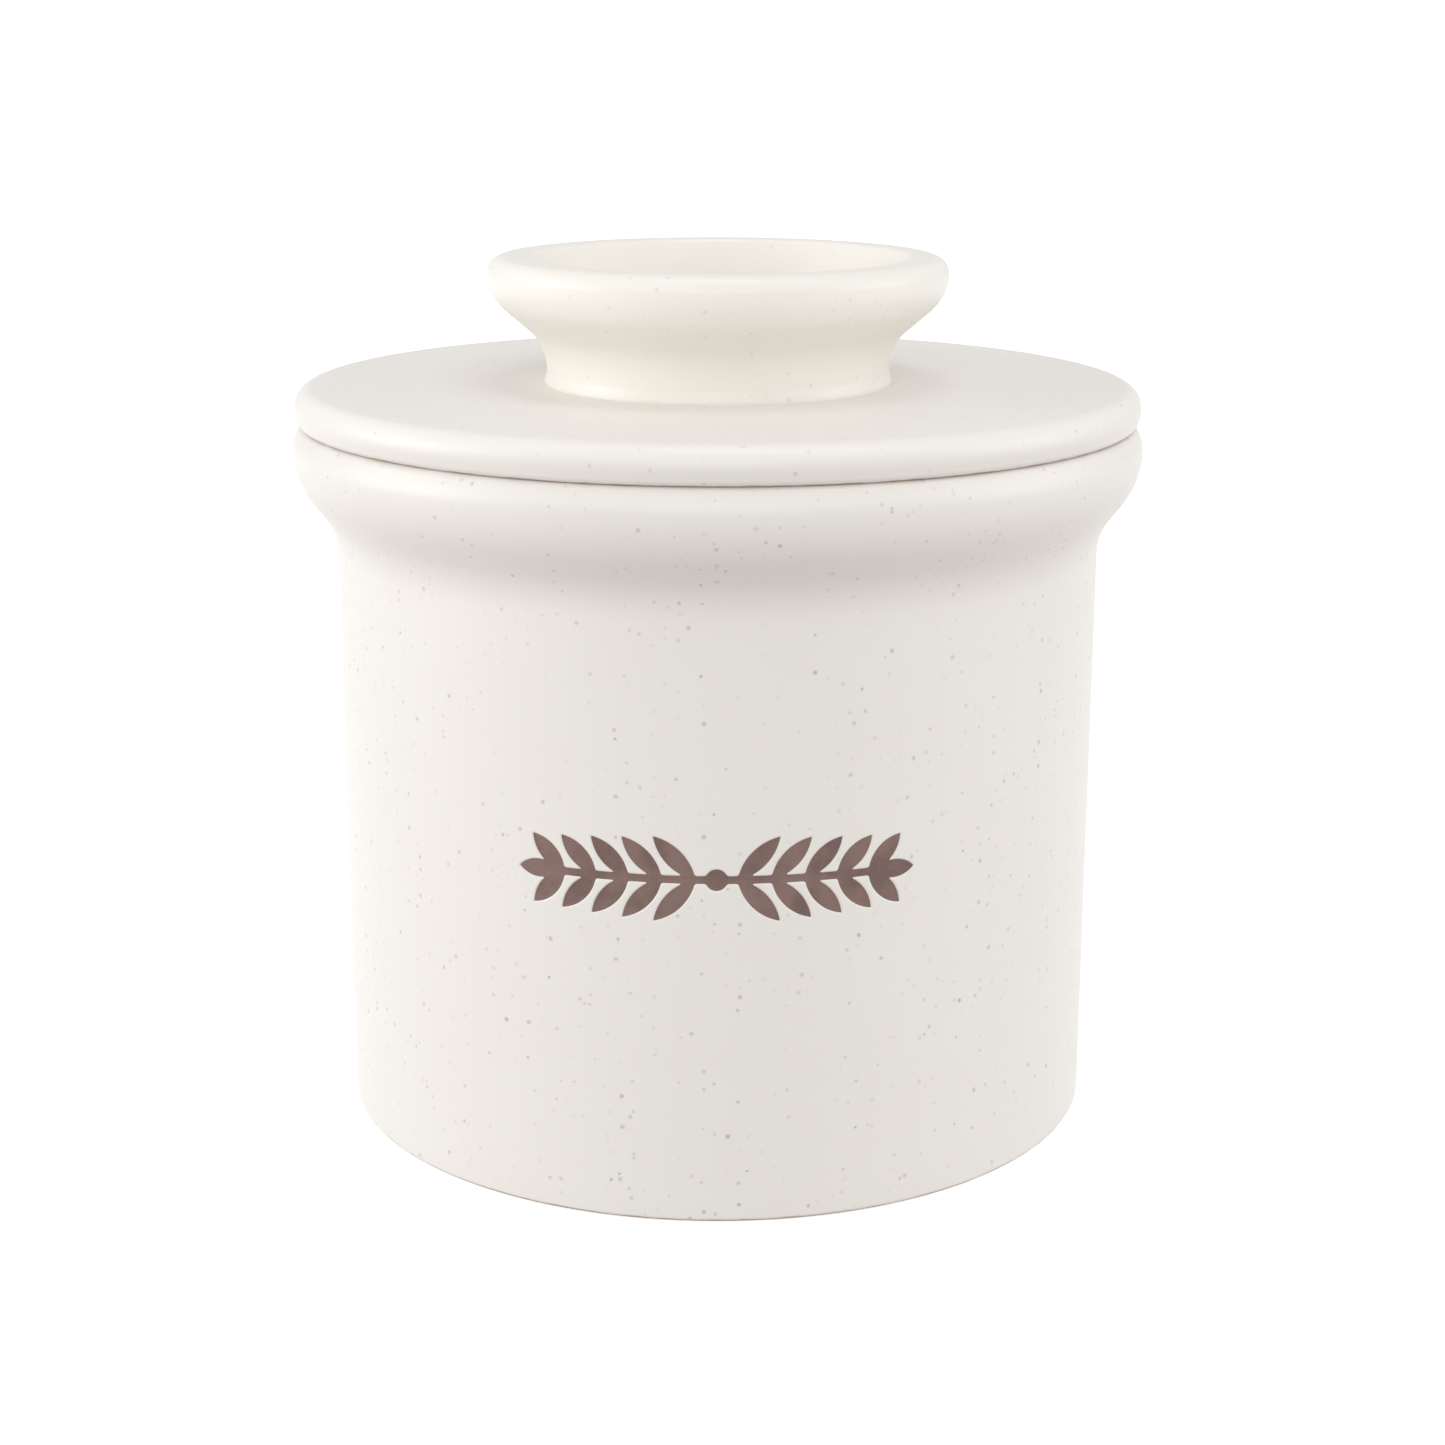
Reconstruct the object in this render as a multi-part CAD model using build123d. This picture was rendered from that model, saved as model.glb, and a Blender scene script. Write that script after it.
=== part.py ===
from build123d import *
import os
from math import cos, radians, sin, tan

# French butter crock: a glazed pot that holds a little water, and a lift-off lid whose hollow bell
# holds the butter upside down in it. Millimetres, +Z up. The origin is the middle of the foot, on the
# surface that the crock stands on, and the sprig faces -Y.

# pot
WALL_RADIUS = 49.78
WALL_THICKNESS = 5.0
FLOOR_THICKNESS = 6.0
RIM_RADIUS = 55.1
SEAT_HEIGHT = 91.2           # where the lid's edge rests on the rim
FLARE_BEND_HEIGHT = 77.62    # where the lines of the wall and the flare would meet
FLARE_ANGLE = 37.5           # of the flare, from upright
FLARE_ROUNDING = 8.6
BELLY_ROUNDING = 9.87        # of the rim's fullest part
SHOULDER_ROUNDING = 3.4      # of the rim's upper part
SHOULDER_DROP = 2.3          # of the corner above the fullest part, below the seat
SEAT_EDGE_INSET = 1.06
SEAT_EDGE_ROUNDING = 1.2
MOUTH_ROUNDING = 1.6
CAVITY_ROUNDING = 8.0
FOOT_ROUNDING = 0.7
FOOT_INNER_RADIUS = 42.3
FOOT_RECESS = 1.2            # how far the middle of the underside is hollowed
FOOT_RECESS_SLOPE = 0.9
FOOT_RECESS_ROUNDING = 0.45

# lid plate
PLATE_RADIUS = 54.72
PLATE_THICKNESS = 4.65
PLATE_TOP_ROUNDING = 2.35
PLATE_SIDE_ROUNDING = 3.0
PLATE_SIDE_HEIGHT = 1.8      # of the corner where the edge starts to draw in
PLATE_UNDER_INSET = 0.45
PLATE_UNDER_ROUNDING = 1.1
COLLAR_CLEARANCE = 1.0       # between the locating collar and the mouth
COLLAR_DEPTH = 2.8
COLLAR_DRAFT = 0.25
COLLAR_ROUNDING = 0.9
COLLAR_ROOT_ROUNDING = 0.6

# butter bell
BELL_ROOT_RADIUS = 37.0
BELL_LIP_RADIUS = 35.0
BELL_THICKNESS = 4.2
BELL_LIP_HEIGHT = 29.0
BELL_LIP_ROUNDING = 2.0
BELL_ROOT_DEPTH = 1.0        # how deep the bell is luted into the plate
BELL_FILLET = 4.0            # of the slip smoothed round the inside of that joint
BELL_FILLET_REACH = 4.6
FILLET_EDGE = 0.25

# knob ring
KNOB_TOP = 112.0             # the whole height of the crock
KNOB_RADIUS = 29.75
KNOB_WAIST_RADIUS = 22.2
KNOB_FLARE_ANGLE = 49.4      # of the flare, from upright
KNOB_BEND_HEIGHT = 100.72    # where the lines of the waist and the flare would meet
KNOB_BEND_ROUNDING = 7.0
KNOB_BELLY_ROUNDING = 6.0
KNOB_TOP_ROUNDING = 2.1
KNOB_MOUTH_RADIUS = 24.57
KNOB_MOUTH_ROUNDING = 0.8
KNOB_INNER_RADIUS = 18.9
KNOB_INNER_ANGLE = 25.0      # of the dish's sloping side, from upright
KNOB_INNER_ROUNDING = 6.0
KNOB_BEAD_RADIUS = 22.55
KNOB_BEAD_HEIGHT = 0.35
KNOB_BEAD_ROUNDING = 0.25
KNOB_BEAD_TAPER = 0.95
KNOB_WAIST_ROUNDING = 1.8
KNOB_ROOT_DEPTH = 0.8        # how deep the ring is luted into the plate
KNOB_ROOT_INSET = 0.3
KNOB_FILLET = 1.5
KNOB_FILLET_REACH = 1.9

# stamped sprig on the front of the wall
SPRIG_HEIGHT = 43.8
SPRIG_RECESS = 0.4
SPRIG_GLAZE = 0.22           # thickness of the brown glaze in the recess
STEM_REACH = 20.3            # from the middle of the sprig, round the wall
STEM_WIDTH = 0.9
BERRY_RADIUS = 1.3
LEAF_PAIRS = 5               # on each half of the sprig
LEAF_START = 2.5
LEAF_SPACING = 4.0
LEAF_TILT = 46.0             # from the stem
LEAF_LENGTH = 7.2
LEAF_SHORTENING = 0.32       # from one pair to the next
LEAF_WIDTH = 2.2
END_LEAF_START = 19.3
END_LEAF_LENGTH = 5.2
CUTTER_REACH = 3.0           # of a stamp past the wall on each side

PLATE_TOP = SEAT_HEIGHT + PLATE_THICKNESS
MOUTH_RADIUS = WALL_RADIUS - WALL_THICKNESS
COLLAR_RADIUS = MOUTH_RADIUS - COLLAR_CLEARANCE
COLLAR_BOTTOM = SEAT_HEIGHT - COLLAR_DEPTH
BELL_ROOT_TOP = SEAT_HEIGHT + BELL_ROOT_DEPTH
KNOB_ROOT_BOTTOM = PLATE_TOP - KNOB_ROOT_DEPTH
KNOB_ROOT_OUTER = KNOB_WAIST_RADIUS - KNOB_ROOT_INSET
KNOB_ROOT_INNER = KNOB_INNER_RADIUS + KNOB_ROOT_INSET


def turned(corners):
    """A solid turned about +Z from a closed outline of corners: (radius, height, rounding)."""
    points = [(radius, height) for radius, height, rounding in corners]
    roundings = [rounding for radius, height, rounding in corners]
    with BuildPart() as solid:
        with BuildSketch(Plane.XZ):
            with BuildLine():
                FilletPolyline(*points, radius=roundings, close=True)
            make_face()
        revolve(axis=Axis.Z)
    return solid.part


def ring(inner_radius, outer_radius, bottom, top):
    """A plain ring about +Z."""
    return turned(
        [
            (inner_radius, bottom, 0),
            (outer_radius, bottom, 0),
            (outer_radius, top, 0),
            (inner_radius, top, 0),
        ]
    )


def pot():
    """The pot before its sprig is stamped: hollowed foot, upright wall, flared rim and flat seat."""
    belly_height = FLARE_BEND_HEIGHT + (RIM_RADIUS - WALL_RADIUS) / tan(radians(FLARE_ANGLE))
    return turned(
        [
            (0, FOOT_RECESS, 0),
            (FOOT_INNER_RADIUS - FOOT_RECESS_SLOPE, FOOT_RECESS, FOOT_RECESS_ROUNDING),
            (FOOT_INNER_RADIUS, 0, FOOT_RECESS_ROUNDING),
            (WALL_RADIUS, 0, FOOT_ROUNDING),
            (WALL_RADIUS, FLARE_BEND_HEIGHT, FLARE_ROUNDING),
            (RIM_RADIUS, belly_height, BELLY_ROUNDING),
            (RIM_RADIUS, SEAT_HEIGHT - SHOULDER_DROP, SHOULDER_ROUNDING),
            (RIM_RADIUS - SEAT_EDGE_INSET, SEAT_HEIGHT, SEAT_EDGE_ROUNDING),
            (MOUTH_RADIUS, SEAT_HEIGHT, MOUTH_ROUNDING),
            (MOUTH_RADIUS, FLOOR_THICKNESS, CAVITY_ROUNDING),
            (0, FLOOR_THICKNESS, 0),
        ]
    )


def wall_plane(arc, height, tilt=0.0):
    """The plane that touches the wall this far round it from the front, its x turned up by tilt."""
    angle = arc / WALL_RADIUS
    outward = Vector(sin(angle), -cos(angle), 0)
    along = Vector(cos(angle), sin(angle), 0) * cos(tilt) + Vector(0, 0, 1) * sin(tilt)
    return Plane(origin=outward * WALL_RADIUS + Vector(0, 0, height), x_dir=along, z_dir=outward)


def leaf_stamp(start, side, tilt, length):
    """A pointed leaf of two arcs, from its stalk end on the stem, cut straight through the wall."""
    middle = side * (start + length / 2 * cos(tilt))
    rise = length / 2 * sin(tilt)
    with BuildPart() as stamp:
        with BuildSketch(wall_plane(middle, SPRIG_HEIGHT + rise, side * tilt)):
            with BuildLine():
                SagittaArc((-length / 2, 0), (length / 2, 0), LEAF_WIDTH / 2)
                SagittaArc((length / 2, 0), (-length / 2, 0), LEAF_WIDTH / 2)
            make_face()
        extrude(amount=CUTTER_REACH, both=True)
    return stamp.part


def stem_stamp():
    """The level stem, with a round berry at its middle."""
    half_width = WALL_RADIUS * sin(STEM_REACH / WALL_RADIUS)
    stem = Pos(0, -WALL_RADIUS, SPRIG_HEIGHT) * Box(2 * half_width, WALL_RADIUS, STEM_WIDTH)
    with BuildPart() as berry:
        with BuildSketch(wall_plane(0, SPRIG_HEIGHT)):
            Circle(BERRY_RADIUS)
        extrude(amount=CUTTER_REACH, both=True)
    return stem + berry.part


def sprig_stamp():
    """The whole sprig as stamps through the wall: stem, leaf pairs on both halves, and end leaves."""
    stamp = stem_stamp()
    for side in (-1, 1):
        for pair in range(LEAF_PAIRS):
            start = LEAF_START + pair * LEAF_SPACING
            length = LEAF_LENGTH - pair * LEAF_SHORTENING
            for tilt in (-LEAF_TILT, LEAF_TILT):
                stamp += leaf_stamp(start, side, radians(tilt), length)
        stamp += leaf_stamp(END_LEAF_START, side, 0.0, END_LEAF_LENGTH)
    return stamp


def wall_layer(depth, thickness):
    """The layer of the wall that starts this deep, over the sprig's band."""
    inner_radius = WALL_RADIUS - depth
    band = LEAF_LENGTH + LEAF_WIDTH
    return ring(inner_radius, inner_radius + thickness, SPRIG_HEIGHT - band, SPRIG_HEIGHT + band)


def crock(stamp):
    """The pot with the sprig stamped into the front of its wall."""
    return pot() - (stamp & wall_layer(SPRIG_RECESS, SPRIG_RECESS + CUTTER_REACH))


def sprig_inlay(stamp):
    """Brown glaze lying on the bottom of the stamped sprig, a little below the wall's surface."""
    return stamp & wall_layer(SPRIG_RECESS, SPRIG_GLAZE)


def lid_plate():
    """The flat lid with its locating collar, and the two shallow grooves that it is luted by."""
    plate = turned(
        [
            (0, SEAT_HEIGHT, 0),
            (BELL_ROOT_RADIUS, SEAT_HEIGHT, 0),
            (BELL_ROOT_RADIUS, COLLAR_BOTTOM, 0),
            (COLLAR_RADIUS - COLLAR_DRAFT, COLLAR_BOTTOM, COLLAR_ROUNDING),
            (COLLAR_RADIUS, SEAT_HEIGHT, COLLAR_ROOT_ROUNDING),
            (PLATE_RADIUS - PLATE_UNDER_INSET, SEAT_HEIGHT, PLATE_UNDER_ROUNDING),
            (PLATE_RADIUS, SEAT_HEIGHT + PLATE_SIDE_HEIGHT, PLATE_SIDE_ROUNDING),
            (PLATE_RADIUS, PLATE_TOP, PLATE_TOP_ROUNDING),
            (0, PLATE_TOP, 0),
        ]
    )
    bell_groove = ring(BELL_ROOT_RADIUS - BELL_THICKNESS, BELL_ROOT_RADIUS, COLLAR_BOTTOM, BELL_ROOT_TOP)
    knob_groove = ring(KNOB_ROOT_INNER, KNOB_ROOT_OUTER, KNOB_ROOT_BOTTOM, PLATE_TOP + 1)
    return plate - bell_groove - knob_groove


def butter_bell():
    """The open-ended bell under the lid, which the butter is packed into."""
    return turned(
        [
            (BELL_LIP_RADIUS, BELL_LIP_HEIGHT, BELL_LIP_ROUNDING),
            (BELL_ROOT_RADIUS, COLLAR_BOTTOM, 0),
            (BELL_ROOT_RADIUS, BELL_ROOT_TOP, 0),
            (BELL_ROOT_RADIUS - BELL_THICKNESS, BELL_ROOT_TOP, 0),
            (BELL_ROOT_RADIUS - BELL_THICKNESS, SEAT_HEIGHT, 0),
            (BELL_ROOT_RADIUS - BELL_THICKNESS - BELL_FILLET_REACH, SEAT_HEIGHT, 0),
            (BELL_ROOT_RADIUS - BELL_THICKNESS - BELL_FILLET_REACH, SEAT_HEIGHT - FILLET_EDGE, 0),
            (BELL_ROOT_RADIUS - BELL_THICKNESS, SEAT_HEIGHT - FILLET_EDGE, BELL_FILLET),
            (BELL_LIP_RADIUS - BELL_THICKNESS, BELL_LIP_HEIGHT, BELL_LIP_ROUNDING),
        ]
    )


def knob_ring():
    """The flared, open ring on top: the handle, and the foot that the lid stands on upside down."""
    belly_height = KNOB_BEND_HEIGHT + (KNOB_RADIUS - KNOB_WAIST_RADIUS) / tan(radians(KNOB_FLARE_ANGLE))
    dish_height = KNOB_TOP - (KNOB_MOUTH_RADIUS - KNOB_INNER_RADIUS) / tan(radians(KNOB_INNER_ANGLE))
    bead_top = PLATE_TOP + KNOB_BEAD_HEIGHT
    return turned(
        [
            (KNOB_ROOT_INNER, KNOB_ROOT_BOTTOM, 0),
            (KNOB_ROOT_OUTER, KNOB_ROOT_BOTTOM, 0),
            (KNOB_ROOT_OUTER, PLATE_TOP, 0),
            (KNOB_BEAD_RADIUS, PLATE_TOP, 0),
            (KNOB_BEAD_RADIUS, bead_top, KNOB_BEAD_ROUNDING),
            (KNOB_WAIST_RADIUS, bead_top + KNOB_BEAD_TAPER, KNOB_WAIST_ROUNDING),
            (KNOB_WAIST_RADIUS, KNOB_BEND_HEIGHT, KNOB_BEND_ROUNDING),
            (KNOB_RADIUS, belly_height, KNOB_BELLY_ROUNDING),
            (KNOB_RADIUS, KNOB_TOP, KNOB_TOP_ROUNDING),
            (KNOB_MOUTH_RADIUS, KNOB_TOP, KNOB_MOUTH_ROUNDING),
            (KNOB_INNER_RADIUS, dish_height, KNOB_INNER_ROUNDING),
            (KNOB_INNER_RADIUS, PLATE_TOP + FILLET_EDGE, KNOB_FILLET),
            (KNOB_INNER_RADIUS - KNOB_FILLET_REACH, PLATE_TOP + FILLET_EDGE, 0),
            (KNOB_INNER_RADIUS - KNOB_FILLET_REACH, PLATE_TOP, 0),
            (KNOB_ROOT_INNER, PLATE_TOP, 0),
        ]
    )


stamp = sprig_stamp()
nodes = {
    "crock": crock(stamp),
    "sprig_inlay": sprig_inlay(stamp),
    "lid_plate": lid_plate(),
    "butter_bell": butter_bell(),
    "knob_ring": knob_ring(),
}

os.makedirs("parts", exist_ok=True)
for name, solid in nodes.items():
    export_step(solid, f"parts/{name}.step")
    print(name, round(solid.volume), "mm3", solid.bounding_box().size)
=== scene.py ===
import math

import bpy
import numpy as np
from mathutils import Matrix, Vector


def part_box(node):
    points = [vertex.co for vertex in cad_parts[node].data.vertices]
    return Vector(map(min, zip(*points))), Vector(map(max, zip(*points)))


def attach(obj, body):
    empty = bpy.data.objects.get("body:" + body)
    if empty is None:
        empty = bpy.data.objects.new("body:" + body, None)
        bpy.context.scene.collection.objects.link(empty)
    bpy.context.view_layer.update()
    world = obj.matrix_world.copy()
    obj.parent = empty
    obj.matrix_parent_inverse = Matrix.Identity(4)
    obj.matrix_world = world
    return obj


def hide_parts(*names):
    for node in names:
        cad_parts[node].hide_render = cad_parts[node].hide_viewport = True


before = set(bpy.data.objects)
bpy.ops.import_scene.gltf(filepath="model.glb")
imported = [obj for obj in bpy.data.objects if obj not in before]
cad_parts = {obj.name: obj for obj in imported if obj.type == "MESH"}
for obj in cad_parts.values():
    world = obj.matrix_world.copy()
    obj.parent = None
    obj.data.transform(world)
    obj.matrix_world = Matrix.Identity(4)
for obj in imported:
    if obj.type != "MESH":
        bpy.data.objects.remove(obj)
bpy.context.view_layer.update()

# ---------------------------------------------------------------- sizes, in metres
MM = 0.001

WALL_RADIUS = 49.78 * MM
WALL_THICKNESS = 5.0 * MM
FLOOR_THICKNESS = 6.0 * MM
RIM_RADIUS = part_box("crock")[1].x
SEAT_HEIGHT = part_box("crock")[1].z
FLARE_BEND_HEIGHT = 77.62 * MM
FLARE_ANGLE = math.radians(37.5)
FLARE_ROUNDING = 8.6 * MM
BELLY_ROUNDING = 9.87 * MM
SHOULDER_ROUNDING = 3.4 * MM
SHOULDER_DROP = 2.3 * MM
SEAT_EDGE_INSET = 1.06 * MM
SEAT_EDGE_ROUNDING = 1.2 * MM
MOUTH_ROUNDING = 1.6 * MM
CAVITY_ROUNDING = 8.0 * MM
FOOT_ROUNDING = 0.7 * MM
FOOT_INNER_RADIUS = 42.3 * MM
FOOT_RECESS = 1.2 * MM
FOOT_RECESS_SLOPE = 0.9 * MM
FOOT_RECESS_ROUNDING = 0.45 * MM
MOUTH_RADIUS = WALL_RADIUS - WALL_THICKNESS

PLATE_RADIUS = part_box("lid_plate")[1].x
PLATE_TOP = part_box("lid_plate")[1].z
COLLAR_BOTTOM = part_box("lid_plate")[0].z
PLATE_TOP_ROUNDING = 2.35 * MM
PLATE_SIDE_ROUNDING = 3.0 * MM
PLATE_SIDE_HEIGHT = 1.8 * MM
PLATE_UNDER_INSET = 0.45 * MM
PLATE_UNDER_ROUNDING = 1.1 * MM
COLLAR_CLEARANCE = 1.0 * MM
COLLAR_RADIUS = MOUTH_RADIUS - COLLAR_CLEARANCE
COLLAR_DRAFT = 0.25 * MM
COLLAR_ROUNDING = 0.9 * MM
COLLAR_ROOT_ROUNDING = 0.6 * MM

BELL_ROOT_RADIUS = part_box("butter_bell")[1].x
BELL_ROOT_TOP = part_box("butter_bell")[1].z
BELL_LIP_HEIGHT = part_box("butter_bell")[0].z
BELL_LIP_RADIUS = 35.0 * MM
BELL_THICKNESS = 4.2 * MM
BELL_LIP_ROUNDING = 2.0 * MM
BELL_FILLET = 4.0 * MM
BELL_FILLET_REACH = 4.6 * MM

KNOB_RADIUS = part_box("knob_ring")[1].x
KNOB_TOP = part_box("knob_ring")[1].z
KNOB_ROOT_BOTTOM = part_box("knob_ring")[0].z
KNOB_WAIST_RADIUS = 22.2 * MM
KNOB_FLARE_ANGLE = math.radians(49.4)
KNOB_BEND_HEIGHT = 100.72 * MM
KNOB_BEND_ROUNDING = 7.0 * MM
KNOB_BELLY_ROUNDING = 6.0 * MM
KNOB_TOP_ROUNDING = 2.1 * MM
KNOB_MOUTH_RADIUS = 24.57 * MM
KNOB_MOUTH_ROUNDING = 0.8 * MM
KNOB_INNER_RADIUS = 18.9 * MM
KNOB_INNER_ANGLE = math.radians(25.0)
KNOB_INNER_ROUNDING = 6.0 * MM
KNOB_BEAD_RADIUS = 22.55 * MM
KNOB_BEAD_HEIGHT = 0.35 * MM
KNOB_BEAD_ROUNDING = 0.25 * MM
KNOB_BEAD_TAPER = 0.95 * MM
KNOB_WAIST_ROUNDING = 1.8 * MM
KNOB_ROOT_INSET = 0.3 * MM
KNOB_FILLET = 1.5 * MM
KNOB_FILLET_REACH = 1.9 * MM
FILLET_EDGE = 0.25 * MM

SPRIG_HEIGHT = (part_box("sprig_inlay")[0].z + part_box("sprig_inlay")[1].z) / 2
SPRIG_RECESS = 0.4 * MM
SPRIG_GLAZE = 0.22 * MM
STEM_REACH = 20.3 * MM
STEM_WIDTH = 0.9 * MM
BERRY_RADIUS = 1.3 * MM
LEAF_PAIRS = 5
LEAF_START = 2.5 * MM
LEAF_SPACING = 4.0 * MM
LEAF_TILT = math.radians(46.0)
LEAF_LENGTH = 7.2 * MM
LEAF_SHORTENING = 0.32 * MM
LEAF_WIDTH = 2.2 * MM
END_LEAF_START = 19.3 * MM
END_LEAF_LENGTH = 5.2 * MM
INNER_CORNER_BLEND = 0.3 * MM     # glaze softens the corners between leaf and stem
STAMP_EDGE_OUT = 0.15 * MM        # how far outside its outline the stamped edge starts to dip
STAMP_EDGE_IN = 0.19 * MM         # and how far inside it the recess is full depth
GLAZE_OVERLAP = 0.03 * MM         # how far the brown glaze runs under the stamped edge
MENISCUS_RISE = 0.05 * MM         # of the brown glaze at its edge
MENISCUS_WIDTH = 0.35 * MM


# ---------------------------------------------------------------- mesh resolution
COLUMNS = 144                     # round the axis
ARC_STEP = math.radians(7.0)
RUN_STEP = 3.0 * MM
STAMP_SPLIT = 20                  # fine columns in one plain column
STAMP_COLUMNS = 12                # plain columns that are split, on each side of the front
STAMP_BAND = 6.0 * MM             # half the height of the finely divided band
STAMP_ROW = 0.11 * MM
SHARP_CORNER = math.radians(40)
ON_WALL = 0.001 * MM              # a point this near to the wall's radius lies on the wall

FINE_COLUMNS = COLUMNS * STAMP_SPLIT
PLAIN_RING = range(0, FINE_COLUMNS, STAMP_SPLIT)
FRONT = STAMP_COLUMNS * STAMP_SPLIT
FINE_RING = sorted({*PLAIN_RING, *range(FRONT), *range(FINE_COLUMNS - FRONT, FINE_COLUMNS)})


# ---------------------------------------------------------------- outlines
def rounded_outline(corners):
    """Points along (radius, height, rounding) corners of a closed outline, each rounding an arc."""
    points = []
    for index, (radius, height, rounding) in enumerate(corners):
        here = np.array((radius, height))
        if rounding == 0:
            points.append(here)
            continue
        before = np.array(corners[index - 1][:2])
        after = np.array(corners[(index + 1) % len(corners)][:2])
        back = (before - here) / np.linalg.norm(before - here)
        ahead = (after - here) / np.linalg.norm(after - here)
        half_turn = (math.pi - math.acos(back @ ahead)) / 2
        bisector = (back + ahead) / np.linalg.norm(back + ahead)
        centre = here + bisector * rounding / math.cos(half_turn)
        first = here + back * rounding * math.tan(half_turn) - centre
        last = here + ahead * rounding * math.tan(half_turn) - centre
        start_angle = math.atan2(first[1], first[0])
        sweep = math.atan2(last[1], last[0]) - start_angle
        sweep = (sweep + math.pi) % (2 * math.pi) - math.pi
        steps = max(2, math.ceil(abs(sweep) / ARC_STEP))
        for step in range(steps + 1):
            angle = start_angle + sweep * step / steps
            points.append(centre + rounding * np.array((math.cos(angle), math.sin(angle))))
    return points


def plain_rings(corners):
    """Rings (radius, height, fine) along an outline, its long runs divided evenly."""
    points = rounded_outline(corners)
    rings = [(*points[0], False)]
    for start, end in zip(points, points[1:]):
        steps = max(1, math.ceil(np.linalg.norm(end - start) / RUN_STEP))
        rings.extend((*(start + (end - start) * step / steps), False) for step in range(1, steps + 1))
    return rings


def flare_top(bend_height, inner_radius, outer_radius, flare_angle):
    """Height where a flare that leaves the inner radius at bend_height reaches the outer radius."""
    return bend_height + (outer_radius - inner_radius) / math.tan(flare_angle)


# ---------------------------------------------------------------- turned meshes
def new_piece(name, vertices, faces):
    """A smooth-shaded mesh object from plain lists, its sharp corners kept."""
    mesh = bpy.data.meshes.new(name)
    mesh.from_pydata([tuple(v) for v in vertices], [], faces)
    mesh.shade_smooth()
    mesh.set_sharp_from_angle(angle=SHARP_CORNER)
    piece = bpy.data.objects.new(name, mesh)
    bpy.context.scene.collection.objects.link(piece)
    return piece


def columns_between(ring, start, end):
    """The ring's columns from start to end, both included."""
    last = FINE_COLUMNS if end == 0 else end
    return [c for c in range(start, last) if c in ring] + [end]


def bridge(faces, low, high):
    """Faces between two rings {column: vertex}. What one ring has more goes into the side of a face."""
    shared = sorted(low.keys() & high.keys())
    for start, end in zip(shared, shared[1:] + shared[:1]):
        lower = [low[c] for c in columns_between(low, start, end)]
        upper = [high[c] for c in columns_between(high, start, end)]
        faces.append(lower + upper[::-1])


def turned(name, rings):
    """A mesh turned about +Z from rings (radius, height, fine); a radius of 0 is a pole."""
    vertices = []
    faces = []
    made = []
    for radius, height, fine in rings:
        ring = {}
        if radius > 0:
            for column in FINE_RING if fine else PLAIN_RING:
                angle = 2 * math.pi * column / FINE_COLUMNS
                ring[column] = len(vertices)
                vertices.append((radius * math.sin(angle), -radius * math.cos(angle), height))
        else:
            ring = len(vertices)
            vertices.append((0, 0, height))
        made.append(ring)
    if rings[0][0] > 0:
        made.append(made[0])
    for low, high in zip(made, made[1:]):
        if isinstance(low, int):
            columns = sorted(high)
            faces.extend((low, high[b], high[a]) for a, b in zip(columns, columns[1:] + columns[:1]))
        elif isinstance(high, int):
            columns = sorted(low)
            faces.extend((low[a], low[b], high) for a, b in zip(columns, columns[1:] + columns[:1]))
        else:
            bridge(faces, low, high)
    return new_piece(name, vertices, faces)


# ---------------------------------------------------------------- the stamped sprig
def leaf_distance(arc, height, start, side, tilt, length):
    """Distance to a leaf of two arcs, negative inside it; arc and height are counted from the sprig."""
    along = side * arc - start - length / 2 * math.cos(tilt)
    up = height - length / 2 * math.sin(tilt)
    lengthwise = along * math.cos(tilt) + up * math.sin(tilt)
    across = up * math.cos(tilt) - along * math.sin(tilt)
    radius = (length ** 2 + LEAF_WIDTH ** 2) / (4 * LEAF_WIDTH)
    middle = radius - LEAF_WIDTH / 2
    return np.maximum(
        np.hypot(lengthwise, across + middle) - radius, np.hypot(lengthwise, across - middle) - radius
    )


def blended(one, other):
    """The nearer of two distances, with the corner between them softened."""
    mix = np.clip(0.5 + 0.5 * (other - one) / INNER_CORNER_BLEND, 0, 1)
    return other * (1 - mix) + one * mix - INNER_CORNER_BLEND * mix * (1 - mix)


def sprig_distance(arc, height):
    """Distance to the sprig's outline, negative inside it."""
    nearest = np.maximum(np.abs(arc) - STEM_REACH, np.abs(height) - STEM_WIDTH / 2)
    nearest = blended(nearest, np.hypot(arc, height) - BERRY_RADIUS)
    for side in (-1, 1):
        for pair in range(LEAF_PAIRS):
            start = LEAF_START + pair * LEAF_SPACING
            length = LEAF_LENGTH - pair * LEAF_SHORTENING
            for tilt in (-LEAF_TILT, LEAF_TILT):
                nearest = blended(nearest, leaf_distance(arc, height, start, side, tilt, length))
        nearest = blended(nearest, leaf_distance(arc, height, END_LEAF_START, side, 0, END_LEAF_LENGTH))
    return nearest


def eased(share):
    """0 to 1 with a soft start and end."""
    share = np.clip(share, 0, 1)
    return share * share * (3 - 2 * share)


def recess_depth(distance):
    """How deep the wall's surface lies at this distance from the sprig's outline."""
    return SPRIG_RECESS * eased((STAMP_EDGE_OUT - distance) / (STAMP_EDGE_OUT + STAMP_EDGE_IN))


def glaze_depth(distance):
    """How deep the brown glaze's surface lies: flat, and drawn up a little at its edge."""
    return SPRIG_RECESS - SPRIG_GLAZE - MENISCUS_RISE * eased(1 + distance / MENISCUS_WIDTH)


def on_wall(arc, height, depth):
    """The point at this distance round the wall from the front, this far below its surface."""
    angle = arc / WALL_RADIUS
    radius = WALL_RADIUS - depth
    return (radius * math.sin(angle), -radius * math.cos(angle), SPRIG_HEIGHT + height)


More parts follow.
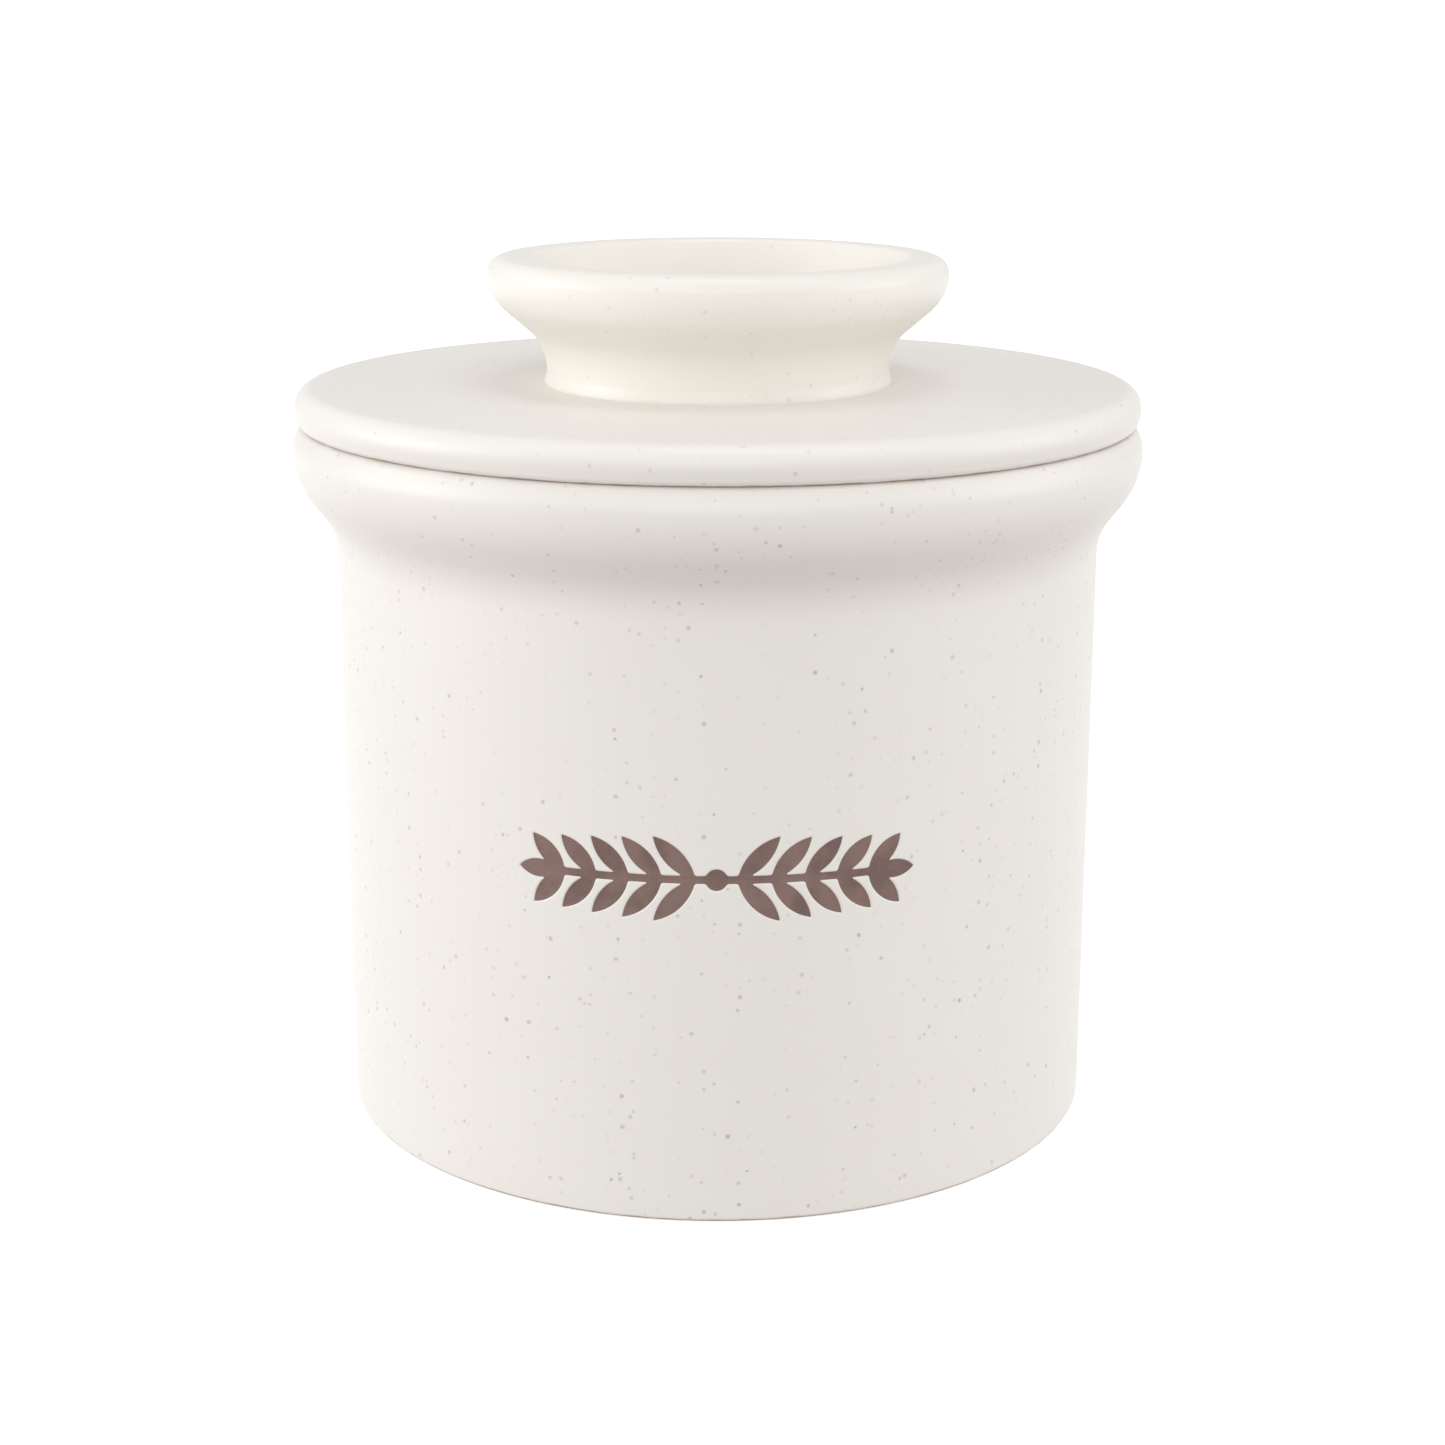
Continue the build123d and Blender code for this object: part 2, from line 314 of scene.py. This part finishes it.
# ---------------------------------------------------------------- pieces
def wall_rings():
    """Rings up the upright wall between its foot and its flare, close together over the sprig."""
    low = FOOT_ROUNDING
    high = FLARE_BEND_HEIGHT - FLARE_ROUNDING * math.tan(FLARE_ANGLE / 2)
    band_low = SPRIG_HEIGHT - STAMP_BAND
    band_high = SPRIG_HEIGHT + STAMP_BAND
    rings = []
    for start, end, step, fine in (
        (low, band_low, RUN_STEP, False),
        (band_low, band_high, STAMP_ROW, True),
        (band_high, high, RUN_STEP, False),
    ):
        steps = math.ceil((end - start) / step)
        first = 0 if fine else 1
        last = steps + 1 if fine else steps
        rings.extend((WALL_RADIUS, start + (end - start) * i / steps, fine) for i in range(first, last))
    return rings


def make_crock():
    """The pot, with the sprig pressed into the front of its wall."""
    corners = [
        (0, FOOT_RECESS, 0),
        (FOOT_INNER_RADIUS - FOOT_RECESS_SLOPE, FOOT_RECESS, FOOT_RECESS_ROUNDING),
        (FOOT_INNER_RADIUS, 0, FOOT_RECESS_ROUNDING),
        (WALL_RADIUS, 0, FOOT_ROUNDING),
        (WALL_RADIUS, FLARE_BEND_HEIGHT, FLARE_ROUNDING),
        (RIM_RADIUS, flare_top(FLARE_BEND_HEIGHT, WALL_RADIUS, RIM_RADIUS, FLARE_ANGLE), BELLY_ROUNDING),
        (RIM_RADIUS, SEAT_HEIGHT - SHOULDER_DROP, SHOULDER_ROUNDING),
        (RIM_RADIUS - SEAT_EDGE_INSET, SEAT_HEIGHT, SEAT_EDGE_ROUNDING),
        (MOUTH_RADIUS, SEAT_HEIGHT, MOUTH_ROUNDING),
        (MOUTH_RADIUS, FLOOR_THICKNESS, CAVITY_ROUNDING),
        (0, FLOOR_THICKNESS, 0),
    ]
    rings = plain_rings(corners)
    on_the_wall = [i for i, ring in enumerate(rings) if abs(ring[0] - WALL_RADIUS) < ON_WALL]
    rings[on_the_wall[0] + 1 : on_the_wall[-1]] = wall_rings()
    piece = turned("crock_body", rings)
    count = len(piece.data.vertices)
    place = np.empty(count * 3)
    piece.data.vertices.foreach_get("co", place)
    place = place.reshape(-1, 3)
    radius = np.hypot(place[:, 0], place[:, 1])
    height = place[:, 2] - SPRIG_HEIGHT
    arc = WALL_RADIUS * np.arctan2(place[:, 0], -place[:, 1])
    pressed = (place[:, 1] < 0) & (np.abs(height) < STAMP_BAND) & (np.abs(radius - WALL_RADIUS) < ON_WALL)
    depth = np.where(pressed, recess_depth(sprig_distance(arc, height)), 0)
    place[:, :2] *= (1 - depth / np.maximum(radius, WALL_THICKNESS))[:, None]
    piece.data.vertices.foreach_set("co", place.ravel())
    piece.data.update()
    return piece


def make_sprig_glaze():
    """Brown glaze in the stamped sprig, cut from a fine grid along the sprig's outline."""
    arcs = np.arange(-FRONT, FRONT + 1) * 2 * math.pi * WALL_RADIUS / FINE_COLUMNS
    rows = round(2 * STAMP_BAND / STAMP_ROW)
    heights = np.linspace(-STAMP_BAND, STAMP_BAND, rows + 1)
    grid = np.stack(np.meshgrid(arcs, heights, indexing="ij"), axis=-1)
    field = sprig_distance(grid[..., 0], grid[..., 1]) - GLAZE_OVERLAP
    points = []
    known = {}
    tops = []

    def point(one, other):
        """The vertex on the outline between an inner and an outer grid point, or a grid point itself."""
        key = (min(one, other), max(one, other))
        if key not in known:
            share = 0 if one == other else field[one] / (field[one] - field[other])
            known[key] = len(points)
            points.append(grid[one] + (grid[other] - grid[one]) * share)
        return known[key]

    for i in range(len(arcs) - 1):
        for j in range(rows):
            cell = [(i, j), (i + 1, j), (i + 1, j + 1), (i, j + 1)]
            if all(field[c] >= 0 for c in cell):
                continue
            face = []
            for here, after in zip(cell, cell[1:] + cell[:1]):
                if field[here] < 0:
                    face.append(point(here, here))
                if (field[here] < 0) != (field[after] < 0):
                    face.append(point(here, after) if field[here] < 0 else point(after, here))
            tops.append(face)
    arc, height = np.array(points).T
    depth = glaze_depth(sprig_distance(arc, height))
    vertices = [on_wall(a, h, d) for a, h, d in zip(arc, height, depth)]
    vertices += [on_wall(a, h, SPRIG_RECESS) for a, h in zip(arc, height)]
    count = len(points)
    faces = tops + [[v + count for v in reversed(face)] for face in tops]
    edges = {(a, b) for face in tops for a, b in zip(face, face[1:] + face[:1])}
    faces += [(b, a, a + count, b + count) for a, b in sorted(edges) if (b, a) not in edges]
    return new_piece("sprig_glaze", vertices, faces)


def make_lid_plate():
    """The flat lid, its locating collar, and the grooves that the bell and the knob are luted into."""
    return turned(
        "lid_disc",
        plain_rings(
            [
                (0, SEAT_HEIGHT, 0),
                (BELL_ROOT_RADIUS - BELL_THICKNESS, SEAT_HEIGHT, 0),
                (BELL_ROOT_RADIUS - BELL_THICKNESS, BELL_ROOT_TOP, 0),
                (BELL_ROOT_RADIUS, BELL_ROOT_TOP, 0),
                (BELL_ROOT_RADIUS, COLLAR_BOTTOM, 0),
                (COLLAR_RADIUS - COLLAR_DRAFT, COLLAR_BOTTOM, COLLAR_ROUNDING),
                (COLLAR_RADIUS, SEAT_HEIGHT, COLLAR_ROOT_ROUNDING),
                (PLATE_RADIUS - PLATE_UNDER_INSET, SEAT_HEIGHT, PLATE_UNDER_ROUNDING),
                (PLATE_RADIUS, SEAT_HEIGHT + PLATE_SIDE_HEIGHT, PLATE_SIDE_ROUNDING),
                (PLATE_RADIUS, PLATE_TOP, PLATE_TOP_ROUNDING),
                (KNOB_WAIST_RADIUS - KNOB_ROOT_INSET, PLATE_TOP, 0),
                (KNOB_WAIST_RADIUS - KNOB_ROOT_INSET, KNOB_ROOT_BOTTOM, 0),
                (KNOB_INNER_RADIUS + KNOB_ROOT_INSET, KNOB_ROOT_BOTTOM, 0),
                (KNOB_INNER_RADIUS + KNOB_ROOT_INSET, PLATE_TOP, 0),
                (0, PLATE_TOP, 0),
            ]
        ),
    )


def make_butter_bell():
    """The open-ended bell that the butter is packed into, with the slip smoothed round its root."""
    inner = BELL_ROOT_RADIUS - BELL_THICKNESS
    return turned(
        "bell_cup",
        plain_rings(
            [
                (BELL_LIP_RADIUS, BELL_LIP_HEIGHT, BELL_LIP_ROUNDING),
                (BELL_ROOT_RADIUS, COLLAR_BOTTOM, 0),
                (BELL_ROOT_RADIUS, BELL_ROOT_TOP, 0),
                (inner, BELL_ROOT_TOP, 0),
                (inner, SEAT_HEIGHT, 0),
                (inner - BELL_FILLET_REACH, SEAT_HEIGHT, 0),
                (inner - BELL_FILLET_REACH, SEAT_HEIGHT - FILLET_EDGE, 0),
                (inner, SEAT_HEIGHT - FILLET_EDGE, BELL_FILLET),
                (BELL_LIP_RADIUS - BELL_THICKNESS, BELL_LIP_HEIGHT, BELL_LIP_ROUNDING),
            ]
        ),
    )


def make_knob_ring():
    """The flared, open ring on top of the lid, with the bead where it meets the plate."""
    belly = flare_top(KNOB_BEND_HEIGHT, KNOB_WAIST_RADIUS, KNOB_RADIUS, KNOB_FLARE_ANGLE)
    dish = KNOB_TOP - (KNOB_MOUTH_RADIUS - KNOB_INNER_RADIUS) / math.tan(KNOB_INNER_ANGLE)
    bead_top = PLATE_TOP + KNOB_BEAD_HEIGHT
    return turned(
        "knob_flare",
        plain_rings(
            [
                (KNOB_INNER_RADIUS + KNOB_ROOT_INSET, KNOB_ROOT_BOTTOM, 0),
                (KNOB_WAIST_RADIUS - KNOB_ROOT_INSET, KNOB_ROOT_BOTTOM, 0),
                (KNOB_WAIST_RADIUS - KNOB_ROOT_INSET, PLATE_TOP, 0),
                (KNOB_BEAD_RADIUS, PLATE_TOP, 0),
                (KNOB_BEAD_RADIUS, bead_top, KNOB_BEAD_ROUNDING),
                (KNOB_WAIST_RADIUS, bead_top + KNOB_BEAD_TAPER, KNOB_WAIST_ROUNDING),
                (KNOB_WAIST_RADIUS, KNOB_BEND_HEIGHT, KNOB_BEND_ROUNDING),
                (KNOB_RADIUS, belly, KNOB_BELLY_ROUNDING),
                (KNOB_RADIUS, KNOB_TOP, KNOB_TOP_ROUNDING),
                (KNOB_MOUTH_RADIUS, KNOB_TOP, KNOB_MOUTH_ROUNDING),
                (KNOB_INNER_RADIUS, dish, KNOB_INNER_ROUNDING),
                (KNOB_INNER_RADIUS, PLATE_TOP + FILLET_EDGE, KNOB_FILLET),
                (KNOB_INNER_RADIUS - KNOB_FILLET_REACH, PLATE_TOP + FILLET_EDGE, 0),
                (KNOB_INNER_RADIUS - KNOB_FILLET_REACH, PLATE_TOP, 0),
                (KNOB_INNER_RADIUS + KNOB_ROOT_INSET, PLATE_TOP, 0),
            ]
        ),
    )


# ---------------------------------------------------------------- material nodes
def add_node(tree, kind, inputs=(), **settings):
    """A shader node with its settings, and with its inputs set to values or linked to sockets."""
    node = tree.nodes.new(kind)
    for name, value in settings.items():
        setattr(node, name, value)
    for name, value in dict(inputs).items():
        if isinstance(value, bpy.types.NodeSocket):
            tree.links.new(value, node.inputs[name])
        else:
            node.inputs[name].default_value = value
    return node


def calculate(tree, operation, one, other=0.0, clamp=False):
    """The output of a Math node."""
    return add_node(
        tree, "ShaderNodeMath", {0: one, 1: other}, operation=operation, use_clamp=clamp
    ).outputs[0]


def multiply_add(tree, value, factor, addend, clamp=False):
    """value x factor + addend, each a number or a socket."""
    inputs = {0: value, 1: factor, 2: addend}
    return add_node(
        tree, "ShaderNodeMath", inputs, operation="MULTIPLY_ADD", use_clamp=clamp
    ).outputs[0]


def ramped(tree, value, low, high, to_low=0.0, to_high=1.0):
    """value taken from low..high to to_low..to_high, with soft ends."""
    inputs = {"Value": value, "From Min": low, "From Max": high, "To Min": to_low, "To Max": to_high}
    return add_node(tree, "ShaderNodeMapRange", inputs, interpolation_type="SMOOTHSTEP").outputs[0]


def graded(tree, value, low, high, power):
    """low..high as value goes from 0 to 1, nearer to low the higher the power."""
    return multiply_add(tree, calculate(tree, "POWER", value, power), high - low, low)


def mixed(tree, share, one, other):
    """A mix of two colours."""
    node = add_node(tree, "ShaderNodeMix", data_type="RGBA")
    sockets = {s.identifier: s for s in node.inputs}
    for key, value in (("Factor_Float", share), ("A_Color", one), ("B_Color", other)):
        if isinstance(value, bpy.types.NodeSocket):
            tree.links.new(value, sockets[key])
        else:
            sockets[key].default_value = value
    return next(s for s in node.outputs if s.identifier == "Result_Color")


def noise(tree, place, size, detail=2.0, roughness=0.5):
    """A noise value about 0.5, its features about this size in metres."""
    inputs = {"Vector": place, "Scale": 1 / size, "Detail": detail, "Roughness": roughness}
    return add_node(tree, "ShaderNodeTexNoise", inputs)


def specks(tree, place, crowd, cell, share, radii, strengths):
    """How strongly a speck covers each point: one speck at most in each cell of this size."""
    cells = add_node(tree, "ShaderNodeTexVoronoi", {"Vector": place, "Scale": 1 / cell})
    chance = add_node(tree, "ShaderNodeSeparateColor", {"Color": cells.outputs["Color"]})
    missing = multiply_add(tree, crowd, -share, 1.0)
    rank = calculate(tree, "SUBTRACT", chance.outputs["Red"], missing)
    present = calculate(tree, "GREATER_THAN", rank, 0.0)
    rank = calculate(tree, "DIVIDE", rank, calculate(tree, "SUBTRACT", 1.0, missing), clamp=True)
    radius = graded(tree, rank, radii[0] / cell, radii[1] / cell, radii[2])
    solid = calculate(tree, "MULTIPLY", radius, SPECK_CORE)
    cover = ramped(tree, cells.outputs["Distance"], radius, solid)
    strength = graded(tree, chance.outputs["Green"], *strengths)
    return calculate(tree, "MULTIPLY", calculate(tree, "MULTIPLY", cover, present), strength)


# ---------------------------------------------------------------- materials
# linear colours
GLAZE_LIGHT = (0.80, 0.765, 0.725, 1)
GLAZE_WARM = (0.795, 0.759, 0.717, 1)
KNOB_LIGHT = (0.82, 0.79, 0.735, 1)
KNOB_WARM = (0.812, 0.781, 0.724, 1)
SPECK_GREY = (0.20, 0.185, 0.18, 1)
SPECK_BROWN = (0.25, 0.20, 0.16, 1)
CLAY_LIGHT = (0.55, 0.47, 0.38, 1)
CLAY_DARK = (0.42, 0.35, 0.28, 1)
BROWN_DARK = (0.135, 0.078, 0.064, 1)
BROWN_LIGHT = (0.195, 0.117, 0.098, 1)
BROWN_PALE = (0.30, 0.21, 0.18, 1)

# cell, share of cells with a speck, (smallest radius, largest, power), (faintest, strongest, power)
SPECK_LAYERS = (
    (1.46 * MM, 0.42, (0.33 * MM, 0.46 * MM, 1.4), (0.03, 0.42, 1.0)),
    (1.42 * MM, 0.50, (0.27 * MM, 0.44 * MM, 2.2), (0.12, 0.60, 3.0)),
)
SPECK_CORE = 0.25                 # of the radius, inside which a speck is at full strength
SPECK_RAGGED = 0.16 * MM          # how far noise moves a speck's outline
SPARSE = 0.3                      # share of the specks that are left where they are sparsest
LID_SPECKLING = 0.65
KNOB_SPECKLING = 0.5

GLAZE_IOR = 1.5
SATIN = (0.36, 0.46)              # roughness of the speckled glaze, from smooth to grainy spots
BROWN_SATIN = (0.4, 0.5)
CLAY_ROUGHER = 0.42               # how much rougher bare clay is than glaze
GLAZE_RELIEF = 0.006 * MM
SWELL_SHARE = 6.0                 # height of the glaze's slow swells over that of its fine grain
PORE_SHARE = 2.0                  # and of the clay's pores
BROWN_RELIEF = 0.02 * MM

FOOT_BARE = 0.35 * MM             # how far from the foot, seat or lip the clay is bare; at the seat the dark clay is also painted shade along the seam
# the lid's dark band at its seat is unglazed clay and also painted shade that deepens the shadow line
# between lid and crock
SEAT_BARE_AND_SEAM_SHADE = 0.15 * MM
LIP_BARE = 1.2 * MM
BARE_EDGE_WANDER = 0.5 * MM       # how far noise moves the edge of the bare clay
BARE_EDGE_START = 0.33 * MM       # where the clay's edge begins and ends, with that noise added
BARE_EDGE_END = 0.21 * MM


def speckled_glaze(name, light, warm, speckling=1.0, band_at=None, band_reach=0.0):
    """Satin off-white glaze; less speckling has fewer and fainter specks.

    The clay is bare in a band reaching this far above and below the given height; on the lid's seat that
    dark band is also painted shade along the seam.
    """
    material = bpy.data.materials.new(name)
    material.use_nodes = True
    tree = material.node_tree
    shader = tree.nodes["Principled BSDF"]
    place = add_node(tree, "ShaderNodeTexCoord").outputs["Object"]

    cover = speck_cover(tree, place, speckling)
    cloud = noise(tree, place, 22 * MM, detail=3.0).outputs["Fac"]
    body = mixed(tree, ramped(tree, cloud, 0.35, 0.65), light, warm)
    speck_tone = noise(tree, place, 3 * MM).outputs["Fac"]
    speck = mixed(tree, ramped(tree, speck_tone, 0.4, 0.6), SPECK_GREY, SPECK_BROWN)
    colour = mixed(tree, cover, body, speck)

    grain = noise(tree, place, 0.9 * MM, detail=3.0).outputs["Fac"]
    swell = noise(tree, place, 9 * MM, detail=1.0).outputs["Fac"]
    rough = ramped(tree, grain, 0.3, 0.7, *SATIN)
    relief = multiply_add(tree, swell, SWELL_SHARE, grain)

    if band_at is not None:
        # a band of dark bare clay; on the lid's seat it is also painted shade on the seam between lid and
        # crock
        bare_and_seam_shade = bare_clay_and_seam_shade(tree, place, band_at, band_reach)
        pores = noise(tree, place, 0.35 * MM, detail=3.0, roughness=0.7).outputs["Fac"]
        clay = mixed(tree, ramped(tree, pores, 0.3, 0.7), CLAY_DARK, CLAY_LIGHT)
        colour = mixed(tree, bare_and_seam_shade, colour, clay)
        rough = multiply_add(tree, bare_and_seam_shade, CLAY_ROUGHER, rough, clamp=True)
        bare_pores = calculate(tree, "MULTIPLY", pores, bare_and_seam_shade)
        relief = multiply_add(tree, bare_pores, PORE_SHARE, relief)

    finish_glaze(tree, shader, colour, rough, relief, GLAZE_RELIEF)
    return material


def speck_cover(tree, place, speckling):
    """How strongly specks cover each point: ragged specks, crowded in some places, sparse in others."""
    jitter = noise(tree, place, 0.5 * MM, detail=1.0).outputs["Color"]
    inputs = {0: jitter, 1: (0.5, 0.5, 0.5)}
    centred = add_node(tree, "ShaderNodeVectorMath", inputs, operation="SUBTRACT").outputs[0]
    scaled = add_node(tree, "ShaderNodeVectorMath", {0: centred}, operation="SCALE")
    scaled.inputs["Scale"].default_value = SPECK_RAGGED
    inputs = {0: place, 1: scaled.outputs[0]}
    ragged = add_node(tree, "ShaderNodeVectorMath", inputs, operation="ADD").outputs[0]
    clump = noise(tree, place, 10 * MM).outputs["Fac"]
    crowd = ramped(tree, clump, 0.37, 0.63, SPARSE * speckling, speckling)
    layers = [specks(tree, ragged, crowd, *layer) for layer in SPECK_LAYERS]
    return calculate(tree, "MULTIPLY", calculate(tree, "MAXIMUM", *layers), speckling)


def bare_clay_and_seam_shade(tree, place, band_at, band_reach):
    """1 where the clay is bare, 0 where it is glazed, with a wandering edge between them; at the lid's
    seat this band is also painted shade along the seam.
    """
    height = add_node(tree, "ShaderNodeSeparateXYZ", {"Vector": place}).outputs["Z"]
    away = calculate(tree, "ABSOLUTE", calculate(tree, "SUBTRACT", height, band_at))
    edge = noise(tree, place, 3.5 * MM, detail=2.0).outputs["Fac"]
    wander = multiply_add(tree, edge, BARE_EDGE_WANDER, away)
    return ramped(tree, wander, band_reach + BARE_EDGE_START, band_reach + BARE_EDGE_END)


def finish_glaze(tree, shader, colour, rough, relief, depth):
    """Links a glaze's colour, roughness and relief to its shader."""
    bump = add_node(tree, "ShaderNodeBump", {"Height": relief, "Strength": 1.0, "Distance": depth})
    tree.links.new(colour, shader.inputs["Base Color"])
    tree.links.new(rough, shader.inputs["Roughness"])
    tree.links.new(bump.outputs["Normal"], shader.inputs["Normal"])
    shader.inputs["IOR"].default_value = GLAZE_IOR


def brown_glaze():
    """Brown glaze, deeper in tone where it pools, with a few pale grains in it."""
    material = bpy.data.materials.new("brown_sprig_glaze")
    material.use_nodes = True
    tree = material.node_tree
    shader = tree.nodes["Principled BSDF"]
    place = add_node(tree, "ShaderNodeTexCoord").outputs["Object"]
    cloud = noise(tree, place, 4 * MM, detail=3.0).outputs["Fac"]
    grain = noise(tree, place, 0.4 * MM, detail=2.0).outputs["Fac"]
    colour = mixed(tree, ramped(tree, cloud, 0.35, 0.65), BROWN_DARK, BROWN_LIGHT)
    colour = mixed(tree, ramped(tree, grain, 0.55, 0.8, 0.0, 0.3), colour, BROWN_PALE)
    finish_glaze(tree, shader, colour, ramped(tree, grain, 0.3, 0.7, *BROWN_SATIN), cloud, BROWN_RELIEF)
    return material


# ---------------------------------------------------------------- assembly
crock = make_crock()
crock.data.materials.append(speckled_glaze("crock_glaze", GLAZE_LIGHT, GLAZE_WARM, 1.0, 0.0, FOOT_BARE))
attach(crock, "crock")
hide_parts("crock")

sprig = make_sprig_glaze()
sprig.data.materials.append(brown_glaze())
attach(sprig, "crock")
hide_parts("sprig_inlay")

plate = make_lid_plate()
# the bare band at the lid's seat is also painted shade, darkening the seam between lid and crock
plate.data.materials.append(
    speckled_glaze("lid_glaze", GLAZE_LIGHT, GLAZE_WARM, LID_SPECKLING, SEAT_HEIGHT, SEAT_BARE_AND_SEAM_SHADE)
)
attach(plate, "lid")
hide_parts("lid_plate")

bell = make_butter_bell()
bell.data.materials.append(
    speckled_glaze("bell_glaze", GLAZE_LIGHT, GLAZE_WARM, 1.0, BELL_LIP_HEIGHT, LIP_BARE)
)
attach(bell, "lid")
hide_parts("butter_bell")

knob = make_knob_ring()
knob.data.materials.append(speckled_glaze("knob_glaze", KNOB_LIGHT, KNOB_WARM, KNOB_SPECKLING))
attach(knob, "lid")
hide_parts("knob_ring")


# ---------------------------------------------------------------- floor, light and camera
# name, azimuth and elevation in degrees, distance and size in metres, watts
SOFT_BOXES = (
    ("left", -85, 10, 1.2, 0.8, 7.7),
    ("right", 85, 10, 1.2, 0.8, 3.8),
    ("front", 0, 15, 1.2, 0.8, 3.2),
    ("top", 0, 90, 1.2, 0.4, 1.6),
    ("high_right", 60, 65, 1.2, 0.6, 1.55),
)
# place from straight down, 0, through level, 0.5, to straight up, 1; and the colour there
SURROUND = (
    (0.0, (0.27, 0.115, 0.085, 1)),
    (0.25, (0.47, 0.505, 0.505, 1)),
    (0.5, (0.74, 0.74, 0.74, 1)),
    (0.75, (0.835, 0.835, 0.835, 1)),
    (1.0, (0.455, 0.455, 0.455, 1)),
)
BACKDROP = 1.1                    # strength of the white that the camera sees behind the crock
FLOOR_GLOW = 0.55
FLOOR_REACH = 30.0                # metres from the middle to each side

CAMERA_DISTANCE = 347.7 * MM
CAMERA_HEIGHT = 142.9 * MM
CAMERA_SIDE = 0.5 * MM
CAMERA_PITCH = math.radians(15.01)
CAMERA_ROLL = math.radians(-0.11)
CAMERA_LENS = 66.52               # in mm, on a sensor 36 mm wide
SENSOR_WIDTH = 36
NEAREST_SEEN = 10 * MM


def make_floor():
    """A large pale floor, bright enough to read as white."""
    mesh = bpy.data.meshes.new("floor")
    corners = [(x * FLOOR_REACH, y * FLOOR_REACH, 0) for x, y in ((-1, -1), (1, -1), (1, 1), (-1, 1))]
    mesh.from_pydata(corners, [], [(0, 1, 2, 3)])
    floor = bpy.data.objects.new("floor", mesh)
    bpy.context.scene.collection.objects.link(floor)
    material = bpy.data.materials.new("floor_white")
    material.use_nodes = True
    shader = material.node_tree.nodes["Principled BSDF"]
    shader.inputs["Base Color"].default_value = (0.9, 0.9, 0.9, 1)
    shader.inputs["Roughness"].default_value = 0.9
    shader.inputs["Emission Color"].default_value = (1, 1, 1, 1)
    shader.inputs["Emission Strength"].default_value = FLOOR_GLOW
    mesh.materials.append(material)
    floor.visible_diffuse = False     # the surround lights the crock from below instead
    material.cycles.emission_sampling = "NONE"


def soft_box(name, azimuth, elevation, distance, size, strength):
    """A square light aimed at the crock's middle; azimuth 0 is in front, and 90 is at its right."""
    light = bpy.data.lights.new(name, "AREA")
    light.size = size
    light.energy = strength
    lamp = bpy.data.objects.new(name, light)
    turn = math.radians(azimuth)
    rise = math.radians(elevation)
    target = (0, 0, SEAT_HEIGHT / 2)
    lamp.location = (
        distance * math.cos(rise) * math.sin(turn),
        -distance * math.cos(rise) * math.cos(turn),
        target[2] + distance * math.sin(rise),
    )
    lamp.rotation_euler = (math.pi / 2 - rise, 0, turn)
    bpy.context.scene.collection.objects.link(lamp)


def make_world():
    """A surround whose colour changes with height; the camera sees a white backdrop instead."""
    world = bpy.data.worlds.new("studio")
    bpy.context.scene.world = world
    world.use_nodes = True
    world.cycles.sampling_method = "NONE"
    tree = world.node_tree
    light = tree.nodes["Background"]
    toward = add_node(tree, "ShaderNodeTexCoord").outputs["Generated"]
    height = add_node(tree, "ShaderNodeSeparateXYZ", {"Vector": toward}).outputs["Z"]
    share = multiply_add(tree, height, 0.5, 0.5)
    levels = add_node(tree, "ShaderNodeValToRGB", {"Fac": share})
    stops = levels.color_ramp.elements
    while len(stops) < len(SURROUND):
        stops.new(0.5)
    for stop, (place, tone) in zip(stops, SURROUND):
        stop.position = place
        stop.color = tone
    tree.links.new(levels.outputs["Color"], light.inputs["Color"])
    light.inputs["Strength"].default_value = 1.0
    backdrop = add_node(tree, "ShaderNodeBackground", {"Color": (1, 1, 1, 1), "Strength": BACKDROP})
    path = add_node(tree, "ShaderNodeLightPath")
    inputs = {0: path.outputs["Is Camera Ray"], 1: light.outputs[0], 2: backdrop.outputs[0]}
    surround = add_node(tree, "ShaderNodeMixShader", inputs)
    tree.links.new(surround.outputs[0], tree.nodes["World Output"].inputs["Surface"])


make_floor()
for box in SOFT_BOXES:
    soft_box(*box)
make_world()

lens = bpy.data.cameras.new("camera")
lens.lens = CAMERA_LENS
lens.sensor_width = SENSOR_WIDTH
lens.clip_start = NEAREST_SEEN
camera = bpy.data.objects.new("camera", lens)
camera.location = (CAMERA_SIDE, -CAMERA_DISTANCE, CAMERA_HEIGHT)
camera.rotation_euler = (math.pi / 2 - CAMERA_PITCH, CAMERA_ROLL, 0)
bpy.context.scene.collection.objects.link(camera)
bpy.context.scene.camera = camera
bpy.context.scene.view_settings.view_transform = "Standard"
